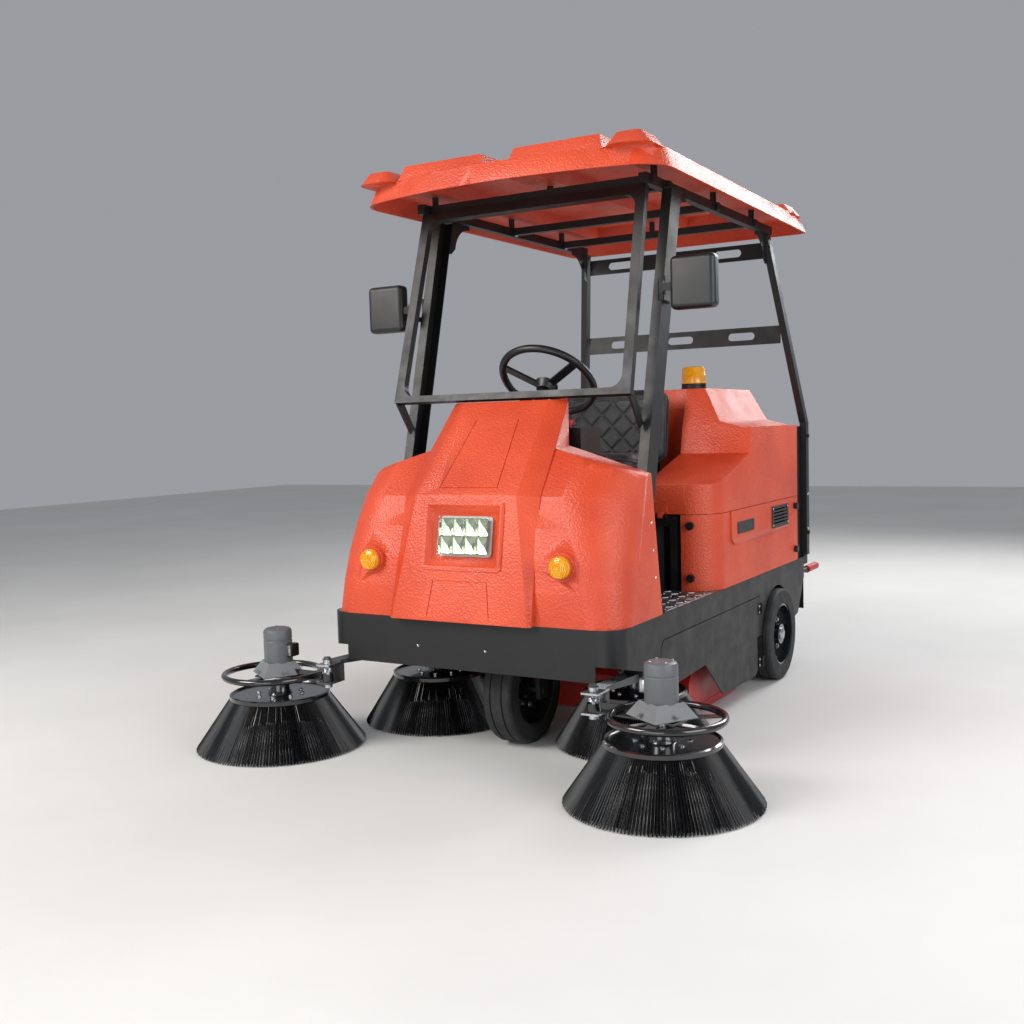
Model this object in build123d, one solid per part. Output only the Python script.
from build123d import *
import os
from math import atan2, cos, degrees, hypot, radians, sin, tan

# Ride-on sweeper.  Millimetres, +Z up, front towards -Y, +X is the driver's left.
# Lengths along the machine are given from the front plate of the chassis and moved at
# export, so that the origin is below the middle of the whole machine, on the floor.

# ---------------------------------------------------------------- driving dimensions
chassis_half = 560.0        # half width over the side plates
chassis_length = 2010.0
plate = 5.0                 # chassis sheet
chassis_corner = 70.0       # bend radius of the front corners
deck_top = 475.0
band_bottom = 310.0         # lower edge of the front plate
rail_height = 60.0
rail_width = 40.0

front_wheel_r = 188.0
front_wheel_width = 110.0
front_wheel_x = 40.0        # the drive wheel stands beside the centre line
front_wheel_y = 316.0
rear_wheel_r = 193.0
rear_wheel_width = 100.0
rear_wheel_face = 585.0     # outer face of a rear tyre
rear_wheel_y = 1600.0
arch_gap = 15.0
axle_r = 15.0
running_gap = 0.06          # radial play of a shaft in its bush
side_gap = 1.0              # side play between moving faces

brush_tip_r = 297.5
brush_x = 732.0
brush_y = -79.0
inner_tip_r = 285.0
inner_x = 410.0
inner_y = 460.0
holder_r = 176.0            # bristle holder of a side brush
holder_z = 176.0
bristle_clear = 2.0         # bristle tips above the floor
pivot_x = 511.0             # upright pivot bolt of a side brush arm
pivot_y = -78.0
lift_y = 220.0              # cross axis that a side brush arm lifts about
lift_z = 290.0
inner_lift_y = 760.0
inner_lift_z = 330.0

roller_r = 140.0            # main brush
roller_y = 1075.0
roller_half = 440.0

door_front = 330.0
door_rear = 1365.0
door_top = 390.0
door_gap = 3.0

wall = 6.0                  # moulded plastic covers
cowl_rear = 350.0
seam_z = 763.0              # joint between the seat hood and the side panels
hood_front = 845.0
hood_rear = chassis_length - 96
hood_top = 1240.0
hood_tilt_y = 838.0         # hinge of the seat hood, in front of its lower edge
hood_tilt_z = 755.0
hood_floor = 880.0          # flat floor under the seat

roof_half = 600.0
roof_front = 222.0
roof_rear = chassis_length + 25
roof_low = 1928.0
roof_skin = 1996.0
roof_wall = 8.0
pad_top = 2045.0

wheel_y = 634.0             # steering wheel
wheel_z = 1271.0
wheel_r = 190.0
wheel_tilt = 40.0

post_x = 571.0              # outer face of a rear post
post_y = chassis_length + 54             # rear face of a rear post
post_bend = 1085.0
post_wide = 30.0
post_deep = 40.0
grip_end = chassis_length + 260
grip_x = 545.0
grip_z = 406.0

middle = (brush_y - brush_tip_r + grip_end) / 2
rail_x = chassis_half - plate - rail_width / 2
rail_low = deck_top - plate - rail_height
rear_wheel_mid = rear_wheel_face - rear_wheel_width / 2


# ---------------------------------------------------------------- small makers
def block(x, y, z):
    size = (x[1] - x[0], y[1] - y[0], z[1] - z[0])
    return Pos((x[0] + x[1]) / 2, (y[0] + y[1]) / 2, (z[0] + z[1]) / 2) * Box(*size)


def bar(start, end, r):
    run = Vector(*end) - Vector(*start)
    return Plane(origin=start, z_dir=run) * Pos(0, 0, run.length / 2) * Cylinder(r, run.length)


def beam(start, end, wide, deep, across=(1, 0, 0)):
    run = Vector(*end) - Vector(*start)
    return Plane(origin=start, x_dir=across,
                 z_dir=run) * Pos(0, 0, run.length / 2) * Box(wide, deep, run.length)


def pin_x(x, y, z, r, inner=0.0):
    tube = Pos((x[0] + x[1]) / 2, y, z) * Rot(0, 90, 0) * Cylinder(r, x[1] - x[0])
    if inner:
        tube -= Pos((x[0] + x[1]) / 2, y, z) * Rot(0, 90, 0) * Cylinder(inner, x[1] - x[0] + 2)
    return tube


def pin_y(x, y, z, r):
    return Pos(x, (y[0] + y[1]) / 2, z) * Rot(90, 0, 0) * Cylinder(r, y[1] - y[0])


def post_pin(x, y, z, r, inner=0.0):
    tube = Pos(x, y, (z[0] + z[1]) / 2) * Cylinder(r, z[1] - z[0])
    if inner:
        tube -= Pos(x, y, (z[0] + z[1]) / 2) * Cylinder(inner, z[1] - z[0] + 2)
    return tube


def side_prism(points, x):
    face = Plane.YZ.offset(x[0]) * make_face(Polyline(*points, close=True))
    return extrude(face, x[1] - x[0])


def front_prism(points, y):
    face = Plane.XZ.offset(-y[1]) * make_face(Polyline(*points, close=True))
    return extrude(face, y[1] - y[0])


def plan_prism(points, z):
    return extrude(Pos(0, 0, z[0]) * make_face(Polyline(*points, close=True)), z[1] - z[0])


def twin(shape):
    return mirror(shape, about=Plane.YZ)


def cut_by(shape, plane):
    """remove what lies on the side that the plane faces"""
    return shape - plane * Pos(0, 0, 2000) * Box(6000, 6000, 4000)


def plane_facing(points, outside, inset=0.0):
    a, b, c = (Vector(*p) for p in points)
    normal = (b - a).cross(c - a).normalized()
    if normal.dot(Vector(*outside) - a) < 0:
        normal = normal * -1
    return Plane(origin=a - normal * inset, z_dir=normal)


def flip(point):
    return (-point[0], point[1], point[2])


def export(name, *solids):
    shape = solids[0] if len(solids) == 1 else Compound(children=list(solids))
    shape = Pos(0, -middle, 0) * shape
    shape.label = name
    export_step(shape, f"parts/{name}.step")


os.makedirs("parts", exist_ok=True)

# ---------------------------------------------------------------- chassis
band_half = 480.0
relief_top = 362.0
skirt_low = 78.0
skirt = [(0, relief_top), (182, 318), (483, 220), (739, 228), (924, skirt_low), (1301, skirt_low - 6),
         (1330, 90), (1330, 225), (1843, 225), (chassis_length - 102, 234), (chassis_length - 5, 383),
         (chassis_length, 460),
         (chassis_length, deck_top), (0, deck_top)]
arch_r = rear_wheel_r + arch_gap


def chassis_plan(inset, z):
    """plan of the chassis: rounded front corners, open at the rear when inset"""
    half, rear = chassis_half - inset, chassis_length + (50 if inset else 0)
    face = make_face(Polyline((-half, rear), (-half, inset), (half, inset), (half, rear), close=True))
    front = face.vertices().sort_by(Axis.Y)[:2]
    return extrude(Pos(0, 0, z[0]) * fillet(front, chassis_corner - inset), z[1] - z[0])


def skirt_profile():
    sides = side_prism(skirt, (-chassis_half - 1, chassis_half + 1))
    sides -= block((-band_half, band_half), (-10, 182), (0, deck_top + 1))
    return sides + block((-band_half, band_half), (-10, 150), (band_bottom, deck_top))


def door_outline(gap):
    front, rear, top = door_front + gap, door_rear - gap, door_top - gap
    return [(front, 60), (front, top - 25), (front + 25, top), (rear, top), (rear, 60)]


shell = chassis_plan(0, (skirt_low - 10, deck_top)) - chassis_plan(plate, (skirt_low - 20, deck_top + 1))
skin = shell & skirt_profile()
skin -= pin_x((-700, 700), rear_wheel_y, rear_wheel_r, arch_r)
door_hole = side_prism(door_outline(0), (-700, 700))
export("chassis_shell", skin - door_hole)

hinge_y = door_rear + 8
hinge_x = chassis_half + 7
hinge_z = (336.0, 118.0)
hinge_r = 6.0
hinge_pin_r = 3.0
leaf = 3.0


def hinge_fixed(side):
    parts = []
    for z in hinge_z:
        leaf_plate = block((chassis_half, chassis_half + leaf), (hinge_y + 6, hinge_y + 26), (z - 22, z + 22))
        web = block((chassis_half, hinge_x), (hinge_y, hinge_y + 7), (z - 22, z - 2))
        knuckle = post_pin(hinge_x, hinge_y, (z - 22, z - 2), hinge_r)
        pin = post_pin(hinge_x, hinge_y, (z - 3, z + 22), hinge_pin_r)
        parts.append(leaf_plate + web + knuckle + pin)
    return parts if side > 0 else [twin(p) for p in parts]


def side_door(side):
    door = (shell & skirt_profile()) & side_prism(door_outline(door_gap), (0, 700))
    for z in hinge_z:
        leaf_plate = block((chassis_half, chassis_half + leaf), (hinge_y - 30, hinge_y - 6), (z - 22, z + 22))
        web = block((chassis_half + 0.5, hinge_x), (hinge_y - 8, hinge_y), (z - 2 + side_gap, z + 22))
        knuckle = post_pin(hinge_x, hinge_y, (z - 2 + side_gap, z + 22), hinge_r)
        door += leaf_plate + (web + knuckle) - post_pin(hinge_x, hinge_y, (z - 30, z + 30),
                                                        hinge_pin_r + running_gap)
    latch = pin_x((chassis_half, chassis_half + 4), door_front + 58, 308, 11)
    latch += pin_x((chassis_half - plate - 18, chassis_half), door_front + 58, 308, 5)
    latch += block((chassis_half - plate - 18, chassis_half - plate - 14), (door_front + 20, door_front + 66),
                   (300, 316))
    door += latch
    return door if side > 0 else twin(door)


export("left_door", side_door(1))
export("right_door", side_door(-1))

# welded frame under the deck, member by member: each stops at the face that it is welded to
frame_top = deck_top - plate
inner_rail = rail_x - rail_width / 2
outer_rail = rail_x + rail_width / 2
rail = block((inner_rail, outer_rail), (chassis_corner + 10, chassis_length), (rail_low, frame_top))
frame = [rail, twin(rail)]
battery_y = hood_front + 20
cross_y = (chassis_corner + 30, 620.0, battery_y, 1350.0, chassis_length - 60)
for y in cross_y:
    frame.append(block((-inner_rail, inner_rail), (y - 20, y + 20), (rail_low, frame_top)))

# upright frame in front of the batteries, which carries the hinges of the seat hood
upright_x = (385.0, 415.0)
upright_y = (hood_front + 5, hood_front + 35)
upright_top = seam_z - 6
upright = block((-upright_x[1], upright_x[1]), upright_y, (upright_top - 25, upright_top))
for x in (upright_x, (-upright_x[1], -upright_x[0])):
    upright += block(x, upright_y, (frame_top, upright_top))
hood_hinge_x = (330.0, 378.0)
hinge_eye = 12.0            # length of one knuckle of a hood hinge
hood_knuckle_r = 7.0
hood_pin_r = 3.5
hinge_leaf = block(hood_hinge_x, (hood_front - 1, hood_front + 6), (seam_z - 46, seam_z - 16))
for x in ((hood_hinge_x[0], hood_hinge_x[0] + hinge_eye), (hood_hinge_x[1] - hinge_eye, hood_hinge_x[1])):
    hinge_leaf += pin_x(x, hood_tilt_y, hood_tilt_z, hood_knuckle_r)
    hinge_leaf += block(x, (hood_tilt_y - 3, hood_front + 5.5), (hood_tilt_z - 9, hood_tilt_z - 1))
hinge_leaf += pin_x(hood_hinge_x, hood_tilt_y, hood_tilt_z, hood_pin_r)
frame.append(upright + hinge_leaf + twin(hinge_leaf))

# rear beam, which the posts of the cab stand on
beam_low = 440.0
frame.append(block((-chassis_half, chassis_half), (chassis_length, post_y + 4), (beam_low, deck_top)))

# steering head: a bush between two beams on the centre line of the drive wheel
stem_r = 22.0
head_r = 38.0
head_low = rail_low
head_beam_y = 62.0          # from the bush to the middle of a beam
head = post_pin(front_wheel_x, front_wheel_y, (head_low, frame_top), head_r)
head_x = (front_wheel_x - head_r, front_wheel_x + head_r)
head += block(head_x, (front_wheel_y - head_beam_y + 12, front_wheel_y + head_beam_y - 12),
              (rail_low, frame_top))
for y in (front_wheel_y - head_beam_y, front_wheel_y + head_beam_y):
    frame.append(block((-inner_rail, inner_rail), (y - 12, y + 12), (rail_low, frame_top)))
frame.append(head
             - post_pin(front_wheel_x, front_wheel_y, (head_low - 1, deck_top + 1), stem_r + running_gap))

# brackets that carry the stub axles of the rear wheels
hub_inner = rear_wheel_face - rear_wheel_width - 4
bracket_x = (hub_inner - 45, hub_inner - 33)
bracket_half = 95.0
bracket_foot = 60.0
foot_z = (112.0, 120.0)
leg = side_prism([(rear_wheel_y - bracket_half, rail_low + 30), (rear_wheel_y + bracket_half, rail_low + 30),
                  (rear_wheel_y + bracket_foot, foot_z[1]), (rear_wheel_y - bracket_foot, foot_z[1])],
                 bracket_x)
foot = block((bracket_x[0] - 30, bracket_x[1]), (rear_wheel_y - bracket_foot, rear_wheel_y + bracket_foot),
             foot_z)
tie = block((bracket_x[0], inner_rail), (rear_wheel_y - bracket_half, rear_wheel_y + bracket_half),
            (rail_low + 20, rail_low + 40))
stub = pin_x((bracket_x[0], rear_wheel_face - 30), rear_wheel_y, rear_wheel_r, axle_r)
axle = leg + foot + tie + stub
frame += [axle, twin(axle)]

# hangers for the side brush arms and the inner brush arms
lift_pin_r = 8.0
lug = 12.0
arm_x = (486.0, 536.0)
inner_arm_x = (inner_x - 20, inner_x + 20)


def lugs(x, y, z):
    """two ears under the rail with the lift pin between them, and a bar across to the rail"""
    ears = pin_x((x[0] - side_gap - lug, x[1] + side_gap + lug), y, z, lift_pin_r)
    for near in (x[0] - side_gap - lug, x[1] + side_gap):
        outline = [(y - 22, rail_low), (y + 22, rail_low), (y + 16, z - 16), (y - 16, z - 16)]
        ears += side_prism(outline, (near, near + lug))
    return ears + block((x[0] - 20, inner_rail), (y - 22, y + 22), (rail_low, rail_low + 20))


for hanger in (lugs(arm_x, lift_y, lift_z), lugs(inner_arm_x, inner_lift_y, inner_lift_z)):
    frame += [hanger, twin(hanger)]
export("chassis_frame", *frame)

# deck and its tread plate step
deck = chassis_plan(plate, (deck_top - plate, deck_top)) & block((-600, 600), (0, chassis_length), (0, 600))
deck -= post_pin(front_wheel_x, front_wheel_y, (0, 600), stem_r + 6)
for side in (1, -1):
    x = sorted((side * (upright_x[0] - 1), side * (upright_x[1] + 1)))
    deck -= block(x, (upright_y[0] - 1, upright_y[1] + 1), (0, 600))
dash_y = 392.0
tread_x, tread_y = chassis_half - 12, (dash_y + 8, hood_front - 8)
tread = block((-tread_x, tread_x), tread_y, (deck_top, deck_top + 3))
stud_long, stud_wide, stud_high, stud_pitch = 26.0, 6.0, 1.6, 46.0
columns = int((2 * tread_x - stud_long) // stud_pitch) + 1
rows = int((tread_y[1] - tread_y[0] - stud_long) // stud_pitch) + 1
for row in range(rows):
    for column in range(columns):
        x = (column - (columns - 1) / 2) * stud_pitch
        y = (tread_y[0] + tread_y[1]) / 2 + (row - (rows - 1) / 2) * stud_pitch
        turned = Rot(0, 0, 45 + 90 * ((row + column) % 2))
        tread += Pos(x, y, deck_top + 3 + stud_high / 2) * turned * Box(stud_long, stud_wide, stud_high)
# pedal stands: two ears and a pin each
pedal_axis_y = 470.0
pedal_z = deck_top + 3 + 22
pedal_half, pedal_pin_r, pedal_ear = 35.0, 6.0, 6.0
pedal_x = 150.0
for x in (pedal_x, -pedal_x):
    for near in (x - pedal_half - side_gap - pedal_ear, x + pedal_half + side_gap):
        tread += side_prism([(pedal_axis_y - 16, deck_top + 2), (pedal_axis_y + 16, deck_top + 2),
                             (pedal_axis_y + 10, pedal_z + 12),
                             (pedal_axis_y - 10, pedal_z + 12)], (near, near + pedal_ear))
    reach = pedal_half + side_gap + pedal_ear
    tread += pin_x((x - reach, x + reach), pedal_axis_y, pedal_z, pedal_pin_r)
export("deck_plate", deck, tread)


# ---------------------------------------------------------------- front cowl
def plan_face(half, front, rear, r, z):
    face = make_face(Polyline((-half, rear), (-half, front), (half, front), (half, rear), close=True))
    return Pos(0, 0, z) * fillet(face.vertices().sort_by(Axis.Y)[:2], r)


wing_roof = ((540.0, 937.0), (250.0, 1030.0))   # slope of a wing's roof, out from the nose
nose_top = 1196.0
wing_tumble = 38.0 / 570.0                      # how far the sides lean in, for each mm of height
# height, front face and corner radius of a wing: upright at the foot, swept back above the lamps
wing_sections = ((deck_top, 0.0, 110.0), (580.0, 6.0, 125.0), (680.0, 22.0, 140.0), (780.0, 46.0, 165.0),
                 (880.0, 80.0, 195.0), (960.0, 154.0, 190.0), (1045.0, 234.0, 110.0))


def wing_front(z):
    """how far behind the front plate a wing's face is at a height"""
    for (low, near, _), (high, far, _) in zip(wing_sections, wing_sections[1:]):
        if low <= z <= high:
            return near + (far - near) * (z - low) / (high - low)


def wings(inset):
    rear = cowl_rear + (60 if inset else 0)
    faces = []
    for z, ahead, corner in wing_sections:
        half = chassis_half - wing_tumble * (z - deck_top) - inset
        faces.append(plan_face(half, ahead + inset, rear, corner - inset, z))
    if inset:
        foot_half = chassis_half - inset
        faces.insert(0, plan_face(foot_half, inset, rear, wing_sections[0][2] - inset, deck_top - 40))
    form = loft(faces, ruled=True)
    (far_x, far_z), (near_x, near_z) = wing_roof
    edge = [(far_x, 0, far_z), (far_x, 300, far_z), (near_x, 0, near_z)]
    form = cut_by(form, plane_facing(edge, (600, 0, 2000), inset))
    form = cut_by(form, plane_facing([flip(p) for p in edge], (-600, 0, 2000), inset))
    if inset:
        form = cut_by(form, Plane(origin=(0, 0, wing_sections[-1][0] - inset)))
    return form


def nose(inset):
    rear = cowl_rear + (60 if inset else 0)
    low = deck_top - (40 if inset else 0)
    form = block((-330, 330), (-80, rear), (low, nose_top + 20))
    fold_l, top_l, base_l = (194, 39, 887), (170, 320, nose_top), (260, -34, 480)
    out_mid, out_top, out_low = (262, 75, 879), (232, 330, 1148), (268, 0, 480)
    form = cut_by(form, plane_facing([base_l, flip(base_l), fold_l], (0, -900, 600), inset))
    form = cut_by(form, plane_facing([fold_l, flip(fold_l), top_l], (0, -900, 2000), inset))
    form = cut_by(form, plane_facing([top_l, flip(top_l), (0, 900, nose_top + 8)], (0, 0, 3000), inset))
    for turn in (lambda p: p, flip):
        lower = [turn(p) for p in (base_l, fold_l, out_mid)]
        upper = [turn(p) for p in (fold_l, top_l, out_mid)]
        side = [turn(p) for p in (out_low, out_mid, out_top)]
        for points in (lower, upper, side):
            form = cut_by(form, plane_facing(points, turn((900, -600, 900)), inset))
    return form


lamp_tilt = degrees(atan2(39 + 34, 887 - 480))
headlight_z = 754.0
front_plane = Plane(origin=(0, -34 + (headlight_z - 480) * tan(radians(lamp_tilt)), headlight_z),
                    x_dir=(1, 0, 0),
                    z_dir=(0, -cos(radians(lamp_tilt)), sin(radians(lamp_tilt))))
pocket_w, pocket_h, pocket_deep = 284.0, 204.0, 26.0
pocket_slope = 24.0         # how far the pocket's walls draw in
rim_wide, rim_proud = 13.0, 4.0
groove = 4.0                # width of the lines pressed into the cowl


def line_cut(plane, start, end):
    """a groove in a plane from one point to another, a little longer than its run"""
    run = Vector(*end) - Vector(*start)
    centre = (Vector(*start) + Vector(*end)) * 0.5
    turn = degrees(atan2(run.Y, run.X))
    return plane * Pos(centre.X, centre.Y, 0) * Rot(0, 0, turn) * Box(run.length + groove, groove, 5)


outer = wings(0) + nose(0)
cowl = outer - (wings(wall) + nose(wall))
rim = Box(pocket_w + 2 * rim_wide, pocket_h + 2 * rim_wide, pocket_deep + wall + rim_proud)
rim = fillet(rim.edges().filter_by(Axis.Z), 16)
cowl += front_plane * Pos(0, 0, rim_proud - (pocket_deep + wall + rim_proud) / 2) * rim
mouth = Pos(0, 0, rim_proud + 1) * Rectangle(pocket_w, pocket_h)
floor = Pos(0, 0, -pocket_deep) * Rectangle(pocket_w - 2 * pocket_slope, pocket_h - 2 * pocket_slope)
cowl -= front_plane * loft([floor, mouth], ruled=True)
cowl -= front_plane * Pos(0, 0, -pocket_deep) * Box(190, 120, 40)
# lines pressed into the face: a panel below the headlight and one on the upper slope
low_panel = ((-104, -150), (-120, -268), (104, -150), (120, -268))
for start, end in ((low_panel[0], low_panel[1]), (low_panel[2], low_panel[3]), (low_panel[0], low_panel[2])):
    cowl -= line_cut(front_plane, start, end)
slope = atan2(nose_top - 887, 320 - 39)
upper_plane = Plane(origin=(0, 39, 887), x_dir=(1, 0, 0), z_dir=(0, -sin(slope), cos(slope)))
high_panel = ((-112, 30), (-84, 330), (112, 30), (84, 330))
for start, end in ((high_panel[0], high_panel[1]), (high_panel[2], high_panel[3]),
                   (high_panel[0], high_panel[2])):
    cowl -= line_cut(upper_plane, start, end)
# bosses that the signal lamps stand on
lamp_x, lamp_z = 367.5, 666.0
lamp_y = wing_front(lamp_z)
boss_r, boss_proud = 47.0, 14.0
lamp_stem_r = 12.0
for x in (lamp_x, -lamp_x):
    cowl += pin_y(x, (lamp_y - boss_proud, lamp_y + 12), lamp_z, boss_r)
    cowl -= pin_y(x, (lamp_y - 30, lamp_y + 30), lamp_z, lamp_stem_r + 1)
cowl -= block((-300, 300), (cowl_rear - 40, cowl_rear + 10), (nose_top - 2, nose_top + 60))
export("front_cowl", cowl)

# headlight: a case in the pocket with a clear lens over its eight reflectors
lamp_w, lamp_h = 208.0, 138.0
case = front_plane * Pos(0, 0, -pocket_deep + 10.5) * Box(lamp_w, lamp_h, 20)
case += front_plane * Pos(0, 0, -pocket_deep - 14) * Box(180, 110, 30)
glass = front_plane * Pos(0, 0, -pocket_deep + 23.5) * Box(lamp_w - 8, lamp_h - 8, 6)
export("headlight", case, glass)

# amber signal lamps: base with a stem through the boss, and lens, one each side
lamps = []
boss_face = lamp_y - boss_proud - 0.3
for x in (lamp_x, -lamp_x):
    base = pin_y(x, (boss_face - 6, boss_face), lamp_z, 40)
    base += pin_y(x, (boss_face - 1, lamp_y + 30), lamp_z, lamp_stem_r)
    lens = pin_y(x, (boss_face - 28, boss_face - 6.2), lamp_z, 36)
    lamps += [base, lens]
export("signal_lamps", *lamps)

# ---------------------------------------------------------------- dash, steering column
column_dir = Vector(0, sin(radians(wheel_tilt)), cos(radians(wheel_tilt)))
hub_centre = Vector(0, wheel_y, wheel_z) - column_dir * 34


def along(distance):
    """a point on the steering column axis, below the hub"""
    p = hub_centre - column_dir * distance
    return (p.X, p.Y, p.Z)


column_r = 24.0
shaft_r = 10.0
gear_low, gear_high = 985.0, 1050.0
gear_box = block((-48, 95), (255, 470), (gear_low, gear_high))
jacket = bar(along(24), along(330), column_r)
jacket -= bar(along(20), along(331), shaft_r + running_gap)
jacket -= block((-60, 110), (250, 470), (gear_low - 60, gear_high))
gear_box -= bar(along(20), along(300), shaft_r + running_gap)
gear_box -= post_pin(front_wheel_x, front_wheel_y, (gear_low - 1, gear_low + 40), 15 + running_gap)
ledges = [block(x, (360, dash_y), (gear_low + 10, gear_high - 10)) for x in ((-160, -48), (95, 160))]
export("steering_column", gear_box, jacket, *ledges)

dash = block((-430, 430), (dash_y, dash_y + 4),
             (deck_top, 915)) - block((-205, 205), (dash_y - 5, dash_y + 10), (0, deck_top + 190))
dash += block((-250, 250), (dash_y, dash_y + 4), (900, 1095))
dash += block((-250, 250), (dash_y, 545), (1091, 1095))
for x in (-252, 248):
    dash += block((x, x + 4), (dash_y, 545), (1000, 1095))
dash -= bar(along(0), along(400), column_r + 1)
dash -= block((-49, 96), (250, 471), (gear_low - 1, gear_high + 1))
stop_x, stop_y = 170.0, 470.0
key_x, key_y = 100.0, 500.0
dash -= post_pin(stop_x, stop_y, (1000, 1200), 8 + running_gap)
dash -= post_pin(key_x, key_y, (1000, 1200), 6 + running_gap)
for x, y, r in ((stop_x, stop_y, 22), (key_x, key_y, 14)):
    dash += post_pin(x, y, (1095, 1099), r) - post_pin(x, y, (1000, 1200),
                                                       (8 if r == 22 else 6) + running_gap)
gauge = block((-205, -85), (450, 530), (1095.5, 1103))
export("dash_panel", dash, gauge)

stop = post_pin(stop_x, stop_y, (1107, 1125), 20) + post_pin(stop_x, stop_y, (1085, 1108), 8)
export("stop_button", stop)
key = post_pin(key_x, key_y, (1085, 1103), 6) + block((key_x - 3, key_x + 3), (key_y - 14, key_y + 14),
                                                      (1102, 1128))
export("key_switch", key)

# steering wheel with three spokes, hub and upper shaft; horn button in the hub
wheel_plane = Plane(origin=(0, wheel_y, wheel_z), x_dir=(1, 0, 0), z_dir=column_dir)
rim = wheel_plane * Torus(wheel_r - 14, 14)
hub = wheel_plane * Pos(0, 0, -34) * Cone(30, 44, 30)
spokes = hub
for turn in (90, 210, 330):
    spokes += wheel_plane * Rot(0, 0, turn) * Pos((wheel_r - 20) / 2 + 10, 0,
                                                  -16) * Rot(0, -11, 0) * Box(wheel_r - 52, 30, 9)
horn_r = 24.0
spokes -= wheel_plane * Pos(0, 0, -20) * Cylinder(horn_r + running_gap, 22)
steering = rim + spokes + bar(along(14), along(282), shaft_r)
export("steering_wheel", steering)
export("horn_button", wheel_plane * Pos(0, 0, -18) * Cylinder(horn_r, 18))

# ---------------------------------------------------------------- steered drive wheel
stem_top = gear_low + 30
cheek = 16.0
fork_x = (front_wheel_x - front_wheel_width / 2 - 14 - cheek,
          front_wheel_x + front_wheel_width / 2 + 14 + cheek)
crown_low = front_wheel_r * 2 + 8
fork = block(fork_x, (front_wheel_y - 45, front_wheel_y + 45), (crown_low, head_low - side_gap))
for x in (fork_x[0], fork_x[1] - cheek):
    fork += side_prism([(front_wheel_y - 45, crown_low + 4), (front_wheel_y + 45, crown_low + 4),
                        (front_wheel_y + 28, front_wheel_r - 28),
                        (front_wheel_y - 28, front_wheel_r - 28)], (x, x + cheek))
fork += post_pin(front_wheel_x, front_wheel_y, (crown_low, deck_top + 40), stem_r)
fork += post_pin(front_wheel_x, front_wheel_y, (deck_top + 39, stem_top), 15)
fork += pin_x((fork_x[0] - 6, fork_x[1] + 6), front_wheel_y, front_wheel_r, axle_r)
export("steer_fork", fork)


def wheel_parts(centre, r, width, rim_r, hub_r):
    """tyre with rounded shoulders and a dished rim with five bolts, both turned about X"""
    x, y, z = centre
    half = width / 2
    tyre = fillet((pin_x((x - half, x + half), y, z, r)).edges().filter_by(GeomType.CIRCLE), 14)
    tyre -= pin_x((x - half - 1, x + half + 1), y, z, rim_r)
    for groove in (-half * 0.4, half * 0.4):
        tyre -= pin_x((x + groove - 3, x + groove + 3), y, z, r + 1, r - 5)
    rim = pin_x((x - half + 4, x + half - 4), y, z, rim_r, rim_r - 8)
    rim += pin_x((x - 5, x + 5), y, z, rim_r - 4)
    rim += pin_x((x - half + 8, x + half - 8), y, z, hub_r)
    for turn in range(5):
        angle = radians(72 * turn)
        bolt_y, bolt_z = y + hub_r * 1.45 * cos(angle), z + hub_r * 1.45 * sin(angle)
        rim += pin_x((x - 14, x + 14), bolt_y, bolt_z, 9)
    rim -= pin_x((x - half, x + half), y, z, axle_r + running_gap)
    return tyre, rim


tyre, rim = wheel_parts((front_wheel_x, front_wheel_y, front_wheel_r), front_wheel_r, front_wheel_width, 128,
                        45)
export("front_tyre", tyre)
export("front_rim", rim)
for side, name in ((1, "left"), (-1, "right")):
    tyre, rim = wheel_parts((side * rear_wheel_mid, rear_wheel_y, rear_wheel_r), rear_wheel_r,
                            rear_wheel_width, 130, 42)
    export(name + "_rear_tyre", tyre)
    export(name + "_rear_rim", rim)

# ---------------------------------------------------------------- main brush and its housing
house_half = 470.0
house_front, house_rear, house_top, house_low = 800.0, 1310.0, 300.0, 36.0
house_sheet = 4.0
slope_rear, slope_low = house_front + 150, 140.0
roller_axle_z = roller_r + bristle_clear
roller_axle_r = 16.0
cheek_x = (house_half - house_sheet, house_half)
cheek_plate = side_prism([(house_front, house_low), (house_front, slope_low), (slope_rear, house_top),
                          (house_rear, house_top), (house_rear, house_low)], cheek_x)
cheek_plate += pin_x((house_half - 6, house_half + 2), roller_y, roller_axle_z, 34)
cheek_plate -= pin_x((house_half - 10, house_half + 5), roller_y, roller_axle_z, roller_axle_r + running_gap)
sheets = [cheek_plate, twin(cheek_plate)]
inside = (-cheek_x[0], cheek_x[0])
sheets.append(block(inside, (slope_rear, house_rear), (house_top - house_sheet, house_top)))
sheets.append(block(inside, (house_front, house_front + house_sheet), (house_low, slope_low)))
sheets.append(block(inside, (house_rear - house_sheet, house_rear), (house_low, house_top - house_sheet)))
sheets.append(side_prism([(house_front, slope_low), (house_front + house_sheet, slope_low),
                          (slope_rear, house_top - house_sheet), (slope_rear, house_top)], inside))
for near, far in ((battery_y, slope_rear + 22), (1350.0, 1282.0)):
    strap = side_prism([(near - 20, rail_low), (near + 20, rail_low), (far + 19, house_top),
                        (far - 19, house_top)],
                       (400, 440))
    sheets += [strap, twin(strap)]
flap_y = (house_front - 4, house_rear)
flaps = [block((-house_half, house_half), (y, y + 4), (6, 90)) for y in flap_y]
flaps += [block((x, x + 4), (house_front + 10, house_rear - 10), (6, 34))
          for x in (-house_half, house_half - 4)]
export("main_brush_housing", *sheets, *flaps)
core = pin_x((-roller_half, roller_half), roller_y, roller_axle_z, 60)
core += pin_x((-house_half - 8, house_half + 8), roller_y, roller_axle_z, roller_axle_r)
bristles = pin_x((-roller_half + 10, roller_half - 10), roller_y, roller_axle_z, roller_r, 60)
export("main_brush", core, bristles)

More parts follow.
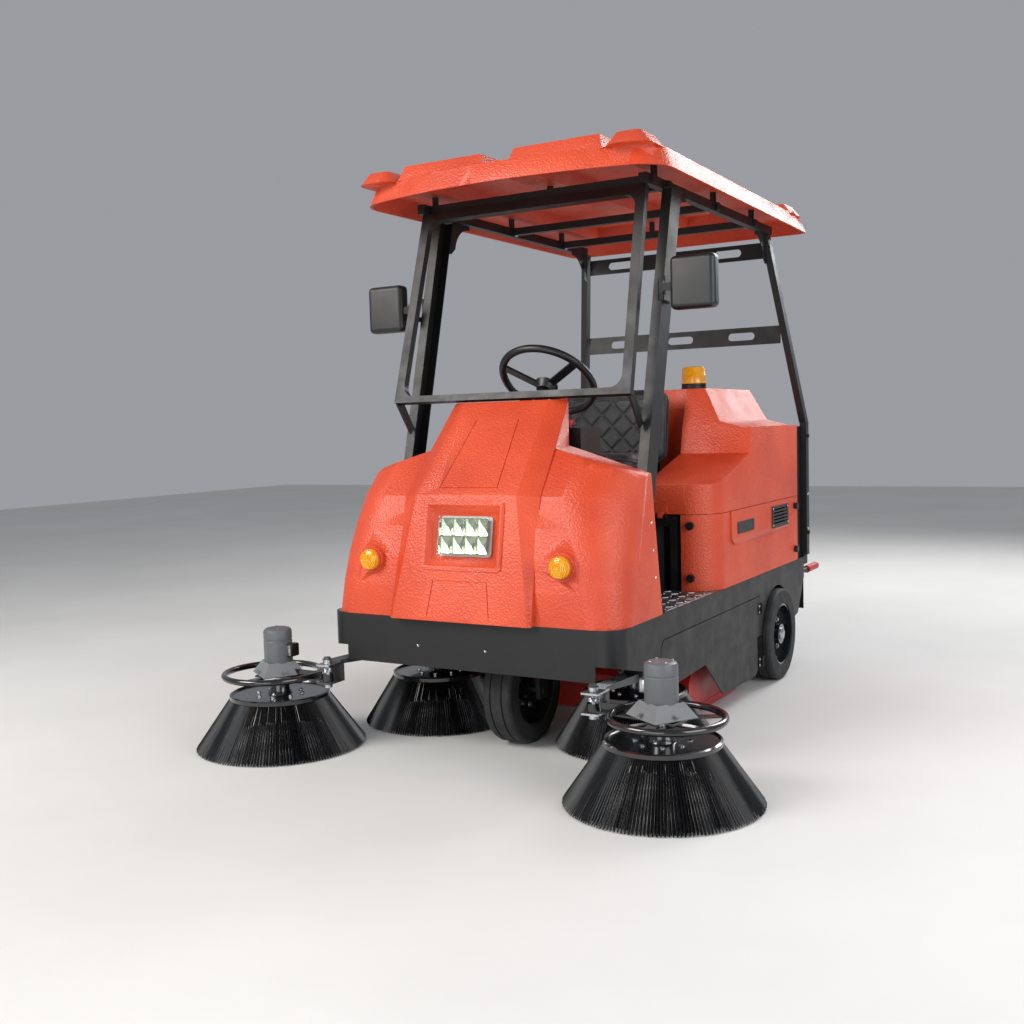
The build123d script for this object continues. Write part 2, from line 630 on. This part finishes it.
# ---------------------------------------------------------------- side brushes
motor_r = 50.0
motor_low, motor_top = 268.0, 419.0
head_z = (236.0, 244.0)
clevis_z = ((300.0, 306.0), (238.0, 244.0))
pivot_r = 9.0
ring_r, ring_tube, ring_z = 168.0, 11.0, 256.0
ring_x, ring_y = 753.0, -90.0


def cone_brush(x, y, tip_r):
    """plate, hub and the cone of bristles of a side brush"""
    disc = post_pin(x, y, (holder_z - 2, holder_z + 12), holder_r)
    disc += post_pin(x, y, (holder_z, head_z[0] - side_gap - 8), 34)
    disc = disc - post_pin(x, y, (0, 400), 12 + running_gap)
    height = holder_z - 2 - bristle_clear
    outer = Pos(x, y, bristle_clear + height / 2) * Cone(tip_r, holder_r - 2, height)
    inner = Pos(x, y, bristle_clear + height / 2) * Cone(tip_r - 62, holder_r - 64, height)
    return disc, outer - inner


def outer_brush(side):
    name = "left" if side > 0 else "right"
    turn = (lambda s: s) if side > 0 else twin
    # arm: eye at the lift pin, two flanges and a clevis at the upright bolt
    arm = pin_x(arm_x, lift_y, lift_z, 20)
    arm += side_prism([(lift_y, lift_z + 14), (lift_y - 10, lift_z - 14), (pivot_y + 40, clevis_z[0][0]),
                       (pivot_y + 40, clevis_z[0][1] + 8)], arm_x)
    arm += plan_prism([(arm_x[0], pivot_y + 60), (arm_x[1], pivot_y + 60), (pivot_x + 28, pivot_y + 10),
                       (pivot_x + 28, pivot_y - 28),
                       (pivot_x - 28, pivot_y - 28), (pivot_x - 28, pivot_y + 10)], clevis_z[0])
    arm += plan_prism([(arm_x[0], pivot_y + 60), (arm_x[1], pivot_y + 60), (pivot_x + 28, pivot_y + 10),
                       (pivot_x + 28, pivot_y - 28),
                       (pivot_x - 28, pivot_y - 28), (pivot_x - 28, pivot_y + 10)], clevis_z[1])
    arm += block(arm_x, (pivot_y + 40, pivot_y + 60), (clevis_z[1][0], clevis_z[0][1]))
    arm -= pin_x((arm_x[0] - 1, arm_x[1] + 1), lift_y, lift_z, lift_pin_r + running_gap)
    arm -= post_pin(pivot_x, pivot_y, (200, 330), pivot_r + 0.5)
    bolt = post_pin(pivot_x, pivot_y, (clevis_z[1][0] - 14, clevis_z[0][1] + 22), pivot_r)
    bolt += post_pin(pivot_x, pivot_y, (clevis_z[0][1] + 0.5, clevis_z[0][1] + 16), 15)
    bolt += post_pin(pivot_x, pivot_y, (clevis_z[1][0] - 14, clevis_z[1][0] - 0.5), 15)
    spring = post_pin(pivot_x, pivot_y, (275, 297), 19, 12)
    export(name + "_lift_arm", *[turn(s) for s in (arm, bolt, spring)])
    # head: sleeve on the bolt, plate to the motor, folded wings and the guard ring
    sleeve = post_pin(pivot_x, pivot_y, (clevis_z[1][1] + side_gap, 272), 20)
    head = sleeve + plan_prism([(pivot_x, pivot_y - 18), (pivot_x, pivot_y + 18),
                                (brush_x - 30, brush_y + 40), (brush_x + 60, brush_y + 60),
                                (brush_x + 75, brush_y), (brush_x + 60, brush_y - 60),
                                (brush_x - 30, brush_y - 40)], (246, 252))
    head += block((pivot_x + 26, brush_x - 56), (brush_y - 3, brush_y + 3), (250, 276))
    head += post_pin(brush_x, brush_y, (250, motor_low - 0.5), 56)
    head += Pos(ring_x, ring_y, ring_z) * Torus(ring_r, ring_tube)
    for angle in (35, 145, 270):
        head += beam((brush_x, brush_y, 249),
                     (ring_x + (ring_r - 4) * cos(radians(angle)),
                      ring_y + (ring_r - 4) * sin(radians(angle)), 252), 6, 26, (0, 0, 1))
    head -= post_pin(pivot_x, pivot_y, (200, 330), pivot_r + running_gap)
    head -= post_pin(brush_x, brush_y, (200, 268), 12 + 0.5)
    export(name + "_brush_head", turn(head))
    motor = post_pin(brush_x, brush_y, (motor_low, motor_top - 12), motor_r)
    motor += Pos(brush_x, brush_y, motor_top - 6) * Cone(motor_r, motor_r - 12, 12)
    motor += post_pin(brush_x, brush_y, (holder_z + 6, motor_low + 1), 12)
    export(name + "_brush_motor", turn(motor))
    disc, cone = cone_brush(brush_x, brush_y, brush_tip_r)
    export(name + "_side_brush", turn(disc), turn(cone))


def inner_brush(side):
    name = "left" if side > 0 else "right"
    turn = (lambda s: s) if side > 0 else twin
    arm = pin_x(inner_arm_x, inner_lift_y, inner_lift_z, 20)
    arm += side_prism([(inner_lift_y, inner_lift_z + 12), (inner_lift_y, inner_lift_z - 12),
                       (inner_y + 90, 246), (inner_y - 60, 246),
                       (inner_y - 60, 254), (inner_y + 90, 262)], inner_arm_x)
    arm += post_pin(inner_x, inner_y, (246, 256), 62)
    arm += post_pin(inner_x, inner_y, (255, 372), 46)
    arm -= pin_x((inner_arm_x[0] - 1, inner_arm_x[1] + 1), inner_lift_y, inner_lift_z,
                 lift_pin_r + running_gap)
    arm += post_pin(inner_x, inner_y, (holder_z + 6, 250), 12)
    export(name + "_inner_arm", turn(arm))
    disc, cone = cone_brush(inner_x, inner_y, inner_tip_r)
    export(name + "_inner_brush", turn(disc), turn(cone))


for side in (1, -1):
    outer_brush(side)
    inner_brush(side)


# ---------------------------------------------------------------- seat hood
deck_low = 870.0


def hood_form(inset):
    low = seam_z - (60 if inset else 0)
    face = make_face(Polyline((-chassis_half + inset, hood_rear - inset),
                              (-chassis_half + inset, hood_front + inset),
                              (chassis_half - inset, hood_front + inset),
                              (chassis_half - inset, hood_rear - inset), close=True))
    face = fillet(face.vertices().sort_by(Axis.Y)[:2], 120 - inset)
    form = extrude(Pos(0, 0, low) * face, 1300 - low)
    side = [(hood_front - 50, low - 1), (hood_front - 50, deck_low - inset), (900, deck_low + 4 - inset),
            (1262 + inset, 976 - inset),
            (1285 + inset, 1079 - inset), (1914 + 50, 1077 - inset), (1964, low - 1)]
    ridge = [(430 - inset, low), (430 - inset, 1096 - inset * 0.6), (345 - inset * 0.8, hood_top - inset),
             (-345 + inset * 0.8, hood_top - inset),
             (-430 + inset, 1096 - inset * 0.6), (-430 + inset, low)]
    back = side_prism([(1275 + inset, low), (1262 + inset, 976), (1285 + inset, 1079),
                       (1352 + inset, hood_top), (1964, hood_top), (1964, low)], (-700, 700))
    hump = front_prism(ridge, (1200, 1964)) & back
    shoulder = front_prism([(545 - inset, low - 1), (545 - inset, 900), (521 - inset, 1079 - inset),
                            (425, 1104 - inset), (-425, 1104 - inset),
                            (-521 + inset, 1079 - inset), (-545 + inset, 900), (-545 + inset, low - 1)],
                           (1200, 1964)) & back
    body = side_prism(side, (-600, 600)) + hump + shoulder
    return form & body


niche_half, niche_rear = 268.0, 1362.0
seat_half = 240.0
track_x = 150.0
niche = block((-niche_half, niche_half), (896, niche_rear), (hood_floor, 1400))
niche_wall = block((-niche_half - wall, niche_half + wall), (896 - wall, niche_rear + wall),
                   (hood_floor - wall, 1400))
hood = hood_form(0) - niche - (hood_form(wall) - niche_wall)
for x in (track_x, -track_x):
    hood += block((x - 14, x + 14), (905, 1235), (hood_floor - 1, hood_floor + 10))
for turn in ((lambda s: s), twin):
    middle_x = (hood_hinge_x[0] + 12 + side_gap, hood_hinge_x[1] - 12 - side_gap)
    leaf_up = block(hood_hinge_x, (hood_front - 5, hood_front + 1), (seam_z + 3, seam_z + 42))
    leaf_up += block(middle_x, (hood_tilt_y - 3, hood_front),
                     (hood_tilt_z + 1, seam_z + 8)) + pin_x(middle_x, hood_tilt_y, hood_tilt_z, 7)
    hood += turn(leaf_up)
hood -= pin_x((-400, 400), hood_tilt_y, hood_tilt_z, hood_pin_r + running_gap)
export("seat_hood", hood)

beacon_x, beacon_y = 200.0, 1600.0
base = post_pin(beacon_x, beacon_y, (hood_top + 0.5, hood_top + 28), 58)
export("beacon_base", base)
lens = Pos(beacon_x, beacon_y, hood_top + 28.5 + 37) * Cone(56, 50, 74)
export("beacon_lens", lens)

# seat: two slides on the hood, cushion and back on a pan
slide_z = hood_floor + 10
cushion_low = 912.0
seat_rear = 1226.0
cushion_thick, back_thick, back_tall = 72.0, 60.0, 322.0
pan = block((-195, 195), (885, seat_rear + 4), (cushion_low - 7, cushion_low - 1))
for x in (track_x, -track_x):
    pan += block((x - 22, x + 22), (930, 1200), (slide_z + 1, cushion_low - 6))
seat_lean = 7.0
lean_dir = (0, sin(radians(seat_lean)), cos(radians(seat_lean)))
back_plane = Plane(origin=(0, seat_rear, cushion_low + 4), x_dir=(1, 0, 0), z_dir=lean_dir)
pan += back_plane * Pos(0, 2.5, 145) * Box(380, 5, 300)
export("seat_frame", pan)
cushion_y = (858.0, seat_rear - back_thick - 12)
cushion = block((-seat_half, seat_half), cushion_y, (cushion_low, cushion_low + cushion_thick))
export("seat_cushion", fillet(cushion.edges().filter_by(Axis.Z), 60))
back = back_plane * Pos(0, -back_thick / 2 - 1.5,
                        back_tall / 2 + 8) * Box(2 * seat_half, back_thick, back_tall)
export("seat_back", fillet(back.edges().filter_by(lambda e: abs(e.length - back_thick) < 1), 50))

# ---------------------------------------------------------------- lower panels, rear panel
panel_gap = 2.0


def lower_panel(inset):
    half = chassis_half - inset
    face = make_face(Polyline((-half, hood_rear + 100), (-half, hood_front + inset),
                              (half, hood_front + inset), (half, hood_rear + 100), close=True))
    face = fillet(face.vertices().sort_by(Axis.Y)[:2], 120 - inset)
    return extrude(Pos(0, 0, deck_top + 1) * face, seam_z - deck_top - 1 - panel_gap)


panel = lower_panel(0) - Pos(0, 0, -1) * lower_panel(4) - Pos(0, 0, 1) * lower_panel(4)
panel &= block((430, 600), (hood_front - 10, hood_rear - 2), (0, 1000))
boss_face = [(1055, 632), (1024, 655), (1022, seam_z - panel_gap), (1758, seam_z - panel_gap), (1752, 637)]
panel += side_prism(boss_face, (chassis_half - 2, chassis_half + 6))
vent = (1519.0, 1745.0, 650.0, 741.0)
panel -= block((500, 600), (vent[0] + 14, vent[1] - 14), (vent[2] + 12, vent[3] - 12))
knobs = []
knob_places = [(469, hood_front - 8, z) for z in (721, 526)]
for x, y, z in knob_places:
    panel -= pin_y(x, (y - 4, y + 30), z, 5)
    knobs.append(pin_y(x, (hood_front - 16, hood_front - 0.5), z, 15)
                 + pin_y(x, (hood_front - 1, hood_front + 14), z, 4.6))
for y, z in ((1866, 720), (1868, 528)):
    panel -= pin_x((540, 590), y, z, 5)
    knobs.append(pin_x((chassis_half + 0.5, chassis_half + 16), y, z, 15)
                 + pin_x((chassis_half - 14, chassis_half + 1), y, z, 4.6))
export("side_panels", panel, twin(panel))
export("panel_knobs", *knobs, *[twin(k) for k in knobs])
grille = block((chassis_half + 6.5, chassis_half + 10), (vent[0], vent[1]), (vent[2], vent[3]))
for row in range(5):
    z = vent[2] + 17 + row * 14
    grille -= block((500, 600), (vent[0] + 18, vent[1] - 18), (z, z + 6))
export("vent_grilles", grille, twin(grille))
rear_pan = block((-545, 545), (hood_rear + 12, chassis_length + 8),
                 (deck_top + 1, 1070)) - block((-541, 541), (hood_rear + 11, chassis_length + 4),
                                               (deck_top, 1066))
for row in range(7):
    z = 560 + row * 36
    rear_pan -= block((-300, 300), (2000, 2030), (z, z + 14))
export("rear_panel", rear_pan)

# ---------------------------------------------------------------- what the covers hide
cells = [block((x - 84, x + 84), (y - 112, y + 112), (deck_top + 1, deck_top + 245))
         for x in (-264, -88, 88, 264) for y in (990, 1222)]
cells += [block((x - 60, x + 60), (880, 1336), (deck_top + 245.5, deck_top + 252)) for x in (-264, 264)]
export("batteries", *cells)
duct = block((-420, 420), (1390, 1890), (deck_top + 1, deck_top + 240))
fan = post_pin(0, 1640, (deck_top + 240, deck_top + 360), 150)
export("suction_unit", duct, fan)

# ---------------------------------------------------------------- cab frame and roof
def pillar_point(x, z, y0=402.0, z0=1000.0, slope=0.27):
    return (x, y0 + slope * (z - z0), z)


pillar_wide, pillar_deep = 36.0, 84.0
pillar_x = 480.0
pillars = []
for side in (1, -1):
    foot, top = pillar_point(side * pillar_x, deck_top + 12), pillar_point(side * pillar_x, 1921)
    foot, top = [(p[0], p[1] + pillar_deep / 2, p[2]) for p in (foot, top)]
    post = beam(foot, top, pillar_wide,
                pillar_deep) - beam((foot[0] - side * 3, foot[1], foot[2]),
                                    (top[0] - side * 3, top[1], top[2]),
                                                            pillar_wide, pillar_deep - 6)
    post = cut_by(post, Plane(origin=(0, 0, 1913)))
    flange = block((side * pillar_x - 40, side * pillar_x + 40), (foot[1] - 60, foot[1] + 60),
                   (deck_top + 0.5, deck_top + 8.5))
    post = cut_by(post, Plane(origin=(0, 0, deck_top + 8), z_dir=(0, 0, -1)))
    pillars.append(post + flange)

# windshield frame: four flat bars with round inner corners and gussets back to the pillars
ws_low, ws_low_half, ws_high_half = 1200.0, 474.0, 456.0
ws_bar, ws_deep = 34.0, 28.0
ws_angle = degrees(atan2(204, 712))
ws_plane = Plane(origin=(0, 315 + ws_deep / 2, ws_low), x_dir=(1, 0, 0),
                 z_dir=(0, -cos(radians(ws_angle)), sin(radians(ws_angle))))
ws_height = hypot(204, 712)
outline = make_face(Polyline((-ws_low_half, 0), (ws_low_half, 0), (ws_high_half, ws_height),
                             (-ws_high_half, ws_height), close=True))
opening = make_face(Polyline((-ws_low_half + ws_bar, ws_bar * 0.7), (ws_low_half - ws_bar, ws_bar * 0.7),
                             (ws_high_half - ws_bar, ws_height - ws_bar),
                             (-ws_high_half + ws_bar, ws_height - ws_bar), close=True))
opening = fillet(opening.vertices(), 45)
windshield = extrude(ws_plane * (outline - opening), ws_deep / 2, both=True)
for side in (1, -1):
    gusset = side_prism([(322, ws_low - 2), (350, ws_low + 22), (426, ws_low - 92), (402, ws_low - 112)],
                        (side * 467 - 4, side * 467 + 4))
    windshield += gusset
rail_z = 1930.0
rail_under = rail_z - 17
windshield = cut_by(windshield, Plane(origin=(0, 0, rail_under)))
export("windshield_frame", windshield)

# roof frame, member by member: side rails, cross bars, head plates, stand-offs and curved gussets
roof_x = 452.0
rail_half = 15.0
rail_top = rail_z + 17
roof_rail_x = (roof_x - rail_half, roof_x + rail_half)
bar_low = rail_z - 12
bar_past = 24.0             # how far a cross bar's end stands out past the rail's middle
rail_y = (500.0, 1880.0)
pillar_head_y = 690.0
left_members = [block(roof_rail_x, rail_y, (rail_under, rail_top))]
roof_members = []
for y in (560.0, pillar_head_y, 1180.0, 1640.0):
    roof_members.append(block((-roof_rail_x[0], roof_rail_x[0]), (y - 15, y + 15), (bar_low, rail_top)))
    left_members.append(block((roof_rail_x[1], roof_x + bar_past), (y - 15, y + 15), (bar_low, rail_top)))
left_members.append(block((roof_rail_x[1], 500), (pillar_head_y - 50, pillar_head_y + 50),
                          (rail_under, bar_low)))
stand_off_top = roof_skin - roof_wall
for y in (600.0, 1180.0, 1640.0):
    left_members.append(post_pin(roof_x, y, (rail_top, stand_off_top), 12))
for y in (pillar_head_y, 1640.0):
    roof_members.append(post_pin(0, y, (rail_top, stand_off_top), 12))
gusset_r = 105.0
gusset = side_prism([(737, rail_under), (856, rail_under), (856, rail_under - 13), (718, 1790), (704, 1790)],
                    (462.5, 466.5)) - pin_x((460, 470), 850, 1793, gusset_r)
left_members.append(gusset)
gusset = side_prism([(1842, rail_under), (1722, rail_under), (1722, rail_under - 13), (1856, 1790),
                     (1867, 1790)],
                    (440, 444)) - pin_x((438, 446), 1729, 1793, gusset_r)
left_members.append(gusset)
roof_members += left_members + [twin(m) for m in left_members]


# rear posts: upright foot, bend, and a leaning upper part with slots
post_top = (438.0, 1866.0, 1912.0)
post_mid_x, post_mid_y = post_x - post_wide / 2, post_y - post_deep / 2
post_foot = 9.0
lower = block((post_x - post_wide, post_x), (post_y - post_deep, post_y), (deck_top + post_foot, post_bend))
bend = (post_mid_x, post_mid_y, post_bend - 6)
upper = beam(bend, (post_top[0], post_top[1], post_top[2] + 20), post_wide, post_deep)
upper = cut_by(upper, Plane(origin=(0, 0, rail_under)))
upper = cut_by(upper, Plane(origin=(0, 0, post_bend), z_dir=(0, 0, -1)))
foot = block((post_x - post_wide - 26, chassis_half), (post_y - 45, post_y + 4), (deck_top,
                                                            deck_top + post_foot))
bolts = [post_pin(post_x - post_wide - 14, y, (deck_top + post_foot, deck_top + 18), 6) for y in (2028, 2054)]
bolts += [pin_x((post_x + 0.3, post_x + 7), post_mid_y, z, 8) for z in (1025, 585)]
left_post = [lower, upper, foot, *bolts]


def between_posts(z):
    """half distance between the inner faces of the leaning posts and their middle y at a height"""
    share = (z - post_bend) / (post_top[2] - post_bend)
    return post_mid_x + share * (post_top[0]
                                 - post_mid_x) - post_wide / 2, post_mid_y + share * (
                                         post_top[1] - post_mid_y)


bars = []
for z, tall in ((1484, 80), (1850, 70)):
    half, y = between_posts(z)
    half -= tall / 2 * (post_mid_x - post_top[0]) / (post_top[2] - post_bend) + 1
    cross = block((-half, half), (y - 2, y + 2), (z - tall / 2, z + tall / 2))
    for x in (-half * 0.62, 0, half * 0.62):
        cross -= pin_y(x - 45, (y - 5, y + 5), z,
                       17) + pin_y(x + 45, (y - 5, y + 5), z,
                                   17) + block((x - 45, x + 45), (y - 5, y + 5), (z - 17, z + 17))
    bars.append(cross)
export("roof_frame", *roof_members, *bars)
export("rear_posts", *left_post, *[twin(p) for p in left_post])


# roof: a moulded tray, bowed at the front, with two long raised pads and four corner humps
def roof_plan(inset, z):
    half, rear_half = roof_half - inset, roof_half - 16 - inset
    front, rear = roof_front + inset, roof_rear - inset
    bow = ThreePointArc((-half, front + 100), (0, front), (half, front + 100))
    edge = bow + Polyline((half, front + 100), (rear_half, rear), (-rear_half, rear), (-half, front + 100))
    face = make_face(edge)
    face = fillet(face.vertices().sort_by(Axis.Y)[:2], 140 - inset)
    face = fillet(face.vertices().sort_by(Axis.Y)[-2:], 45)
    return Pos(0, 0, z) * face


pad_x = (46.0, 405.0)
pad_middle, pad_half = 1110.0, 820.0
pad_draft = 20.0
hump_x, hump_w, hump_l, hump_draft = 492.0, 160.0, 210.0, 34.0
hump_top = 2034.0


def roof_pad(side, inset):
    """one long raised pad, or its hollow"""
    centre = side * (pad_x[0] + pad_x[1]) / 2
    half = (pad_x[1] - pad_x[0]) / 2 - inset
    top = pad_top - inset
    low_face = Pos(centre, pad_middle, roof_skin - 4 - inset) * Rectangle(2 * half, 2 * (pad_half - inset))
    high_face = Pos(centre, pad_middle,
                    top) * Rectangle(2 * (half - pad_draft), 2 * (pad_half - inset - pad_draft))
    return loft([low_face, high_face], ruled=True)


roof = loft([roof_plan(0, roof_low), roof_plan(26, roof_skin)], ruled=True)
roof -= loft([roof_plan(roof_wall, roof_low - 1), roof_plan(26 + roof_wall, roof_skin - roof_wall)],
             ruled=True)
for side in (1, -1):
    roof += roof_pad(side, 0)
    roof -= roof_pad(side, roof_wall)
    for y in (roof_front + 135, roof_rear - 135):
        low_face = Pos(side * hump_x, y, roof_skin - 4) * RectangleRounded(hump_w, hump_l, 60)
        high_face = Pos(side * hump_x, y, hump_top) * RectangleRounded(hump_w - 2 * hump_draft,
                                                                       hump_l - 2 * hump_draft,
                                                            60 - hump_draft)
        roof += loft([low_face, high_face], ruled=True)
export("canopy", roof)

# ---------------------------------------------------------------- mirrors
mirror_pin_x, mirror_pin_y, mirror_z = 512.0, 500.0, 1560.0
arm_y = pillar_point(0, mirror_z)[1]
for side, name in ((1, "left"), (-1, "right")):
    turn = (lambda s: s) if side > 0 else twin
    case = fillet(block((548, 706), (482, 540), (1480, 1658)).edges(), 18)
    case += beam((mirror_pin_x, mirror_pin_y, mirror_z), (552, 506, mirror_z), 26, 14, (0, 0, 1))
    case += post_pin(mirror_pin_x, mirror_pin_y, (mirror_z - 20, mirror_z + 20), 11)
    case -= post_pin(mirror_pin_x, mirror_pin_y, (mirror_z - 60, mirror_z + 60), 5 + running_gap)
    case -= block((560, 694), (536, 545), (1494, 1644))
    mirror_glass = block((561, 693), (536.2, 539.5), (1495, 1643))
    export(name + "_mirror", turn(case), turn(mirror_glass))
brackets = []
for turn in ((lambda s: s), twin):
    clamp = block((pillar_x + pillar_wide / 2 + 0.5, pillar_x + pillar_wide / 2 + 6), (arm_y + 5, arm_y + 60),
                  (mirror_z - 45, mirror_z + 45))
    clamp += post_pin(mirror_pin_x, mirror_pin_y, (mirror_z - 44, mirror_z + 30), 5)
    clamp += post_pin(mirror_pin_x, mirror_pin_y, (mirror_z - 44, mirror_z - 20 - side_gap), 11)
    clamp += beam((mirror_pin_x, mirror_pin_y, mirror_z - 34), (mirror_pin_x - 6, arm_y + 30, mirror_z - 34),
                  16, 18, (1, 0, 0))
    brackets.append(turn(clamp))
export("front_pillars", *pillars, *brackets)

# ---------------------------------------------------------------- pedals
for name, x in (("throttle_pedal", pedal_x), ("brake_pedal", -pedal_x)):
    pad = side_prism([(pedal_axis_y - 12, pedal_z - 3), (pedal_axis_y + 8, pedal_z - 3),
                      (pedal_axis_y - 60, pedal_z + 118),
                      (pedal_axis_y - 68, pedal_z + 114)], (x - pedal_half, x + pedal_half))
    pad += pin_x((x - pedal_half, x + pedal_half), pedal_axis_y, pedal_z, 12)
    pad -= pin_x((x - 40, x + 40), pedal_axis_y, pedal_z, pedal_pin_r + running_gap)
    export(name, pad)

# ---------------------------------------------------------------- dust hopper drawer
bin_half, bin_front, bin_low, bin_top = 385.0, 1400.0, 96.0, 398.0
fascia_y = chassis_length + 4
tub = block((-bin_half, bin_half), (bin_front, fascia_y),
            (bin_low, bin_top)) - block((-bin_half + 3, bin_half - 3), (bin_front - 1, fascia_y - 3),
                                        (bin_low + 3, bin_top + 1))
tub += block((-bin_half, bin_half), (bin_front, bin_front + 3), (bin_low, bin_low + 60))
tub += block((-555, 555), (fascia_y, fascia_y + 4), (238, 432))
tub += block((-bin_half, bin_half), (fascia_y - 1, fascia_y + 4), (bin_low, 240))
export("hopper_bin", tub)
handles, grips = [], []
for x in (grip_x, -grip_x):
    handles.append(pin_y(x, (fascia_y + 4, grip_end - 40), grip_z, 10)
                   + block((x - 10, x + 10), (fascia_y + 4, fascia_y + 12), (grip_z - 30, grip_z + 24)))
    grips.append(fillet(pin_y(x, (fascia_y + 90, grip_end), grip_z, 17).edges().group_by(Axis.Y)[-1], 15)
                 - pin_y(x, (fascia_y + 80, grip_end - 40), grip_z, 10))
export("hopper_handles", *handles)
export("hopper_grips", *grips)

export("door_hinges", *hinge_fixed(1), *hinge_fixed(-1))
